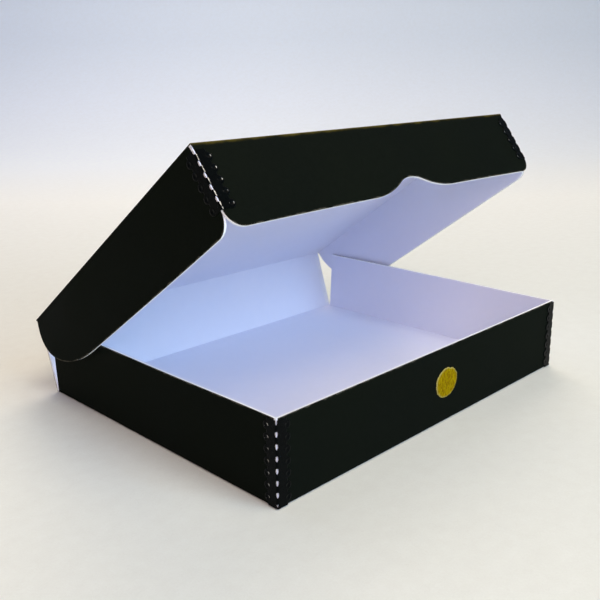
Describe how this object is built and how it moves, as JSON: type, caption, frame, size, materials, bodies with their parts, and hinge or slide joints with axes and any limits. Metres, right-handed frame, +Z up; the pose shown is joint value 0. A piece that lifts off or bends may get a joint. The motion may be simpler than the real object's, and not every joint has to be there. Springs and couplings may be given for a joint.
{
  "type": "archival print box",
  "caption": "Shallow hinged-lid archival box of black lined board with metal-edge corners, a thumb notch and a round closure dot, standing half open.",
  "frame": {"origin": "on the table, at the middle of the closed tray's footprint", "axes": "+X to the right along the tray's front, +Y to the spine, +Z up"},
  "size_m": [0.2745, 0.2252, 0.1705],
  "materials": {
    "white_core": "matt, smooth solid paper board, white through",
    "black_paper": "satin, fine pebbled cover paper",
    "metal_edge": "gloss black enamel",
    "closure_dot": "yellow loop pile"
  },
  "bodies": {
    "tray": {"tray_floor_board": "white_core", "tray_floor_paper": "black_paper", "tray_front_board": "white_core", "tray_front_paper": "black_paper", "tray_left_board": "white_core", "tray_left_paper": "black_paper", "tray_right_board": "white_core", "tray_right_paper": "black_paper", "tray_left_metal_edge": "metal_edge", "tray_right_metal_edge": "metal_edge", "tray_closure_dot": "closure_dot"},
    "spine": {"spine_board": "white_core", "spine_paper": "black_paper"},
    "lid": {"lid_top_board": "white_core", "lid_top_paper": "black_paper", "lid_front_board": "white_core", "lid_front_paper": "black_paper", "lid_left_board": "white_core", "lid_left_paper": "black_paper", "lid_right_board": "white_core", "lid_right_paper": "black_paper", "lid_left_metal_edge": "metal_edge", "lid_right_metal_edge": "metal_edge", "lid_closure_dot": "closure_dot"}
  },
  "joints": [
    {"name": "spine_fold", "type": "hinge", "parent": "tray", "child": "spine", "pos_m": [0, 0.105, 0], "axis": [1, 0, 0], "range_deg": [-72, 17.65]},
    {"name": "lid_fold", "type": "hinge", "parent": "spine", "child": "lid", "pos_m": [0, 0.11989, 0.04679], "axis": [1, 0, 0], "range_deg": [-72, 17.85]}
  ]
}
